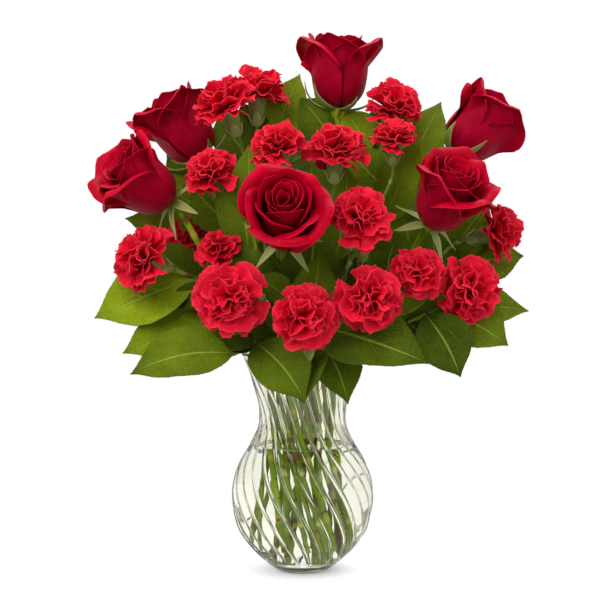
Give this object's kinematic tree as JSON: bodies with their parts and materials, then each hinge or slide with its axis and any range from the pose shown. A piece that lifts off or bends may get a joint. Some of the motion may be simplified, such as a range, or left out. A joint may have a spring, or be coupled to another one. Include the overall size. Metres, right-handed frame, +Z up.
{
  "type": "flower arrangement",
  "caption": "Red roses and spray carnations with salal leaves, standing in water in a clear swirl-ribbed glass vase.",
  "frame": {"origin": "centre of the vase's foot, on the surface it stands on", "axes": "+Z up; the front of the arrangement faces -Y, and +X is to the viewer's right"},
  "size_m": [0.3575, 0.2849, 0.4335],
  "materials": {
    "vase": "clear, glossy, with swirling ribs",
    "water": "clear",
    "rose_petals": "velvety",
    "rose_green": "satin",
    "carnation_petals": "matt, softly ruffled",
    "carnation_green": "waxy",
    "salal_leaves": "leathery, slightly glossy"
  },
  "bodies": {
    "root": {"rose_front_petals": "rose_petals", "rose_front_stem": "rose_green", "rose_left_petals": "rose_petals", "rose_left_stem": "rose_green", "rose_right_petals": "rose_petals", "rose_right_stem": "rose_green", "rose_top_petals": "rose_petals", "rose_top_stem": "rose_green", "rose_upper_left_petals": "rose_petals", "rose_upper_left_stem": "rose_green", "rose_upper_right_petals": "rose_petals", "rose_upper_right_stem": "rose_green", "salal_back_left": "salal_leaves", "salal_back_right": "salal_leaves", "salal_front_left": "salal_leaves", "salal_left": "salal_leaves", "salal_low_front": "salal_leaves", "salal_low_left": "salal_leaves", "salal_low_right": "salal_leaves", "salal_right": "salal_leaves", "salal_top_left": "salal_leaves", "salal_top_right": "salal_leaves", "spray_back_flower_a": "carnation_petals", "spray_back_flower_b": "carnation_petals", "spray_back_flower_c": "carnation_petals", "spray_back_stem": "carnation_green", "spray_centre_flower_a": "carnation_petals", "spray_centre_flower_b": "carnation_petals", "spray_centre_stem": "carnation_green", "spray_left_flower_a": "carnation_petals", "spray_left_flower_b": "carnation_petals", "spray_left_flower_c": "carnation_petals", "spray_left_stem": "carnation_green", "spray_low_left_flower_a": "carnation_petals", "spray_low_left_flower_b": "carnation_petals", "spray_low_left_stem": "carnation_green", "spray_low_right_flower_a": "carnation_petals", "spray_low_right_flower_b": "carnation_petals", "spray_low_right_stem": "carnation_green", "spray_right_flower_a": "carnation_petals", "spray_right_flower_b": "carnation_petals", "spray_right_stem": "carnation_green", "spray_top_left_flower_a": "carnation_petals", "spray_top_left_flower_b": "carnation_petals", "spray_top_left_flower_c": "carnation_petals", "spray_top_left_stem": "carnation_green", "spray_top_right_flower_a": "carnation_petals", "spray_top_right_flower_b": "carnation_petals", "spray_top_right_flower_c": "carnation_petals", "spray_top_right_stem": "carnation_green", "vase": "vase", "water": "water"}
  },
  "joints": []
}
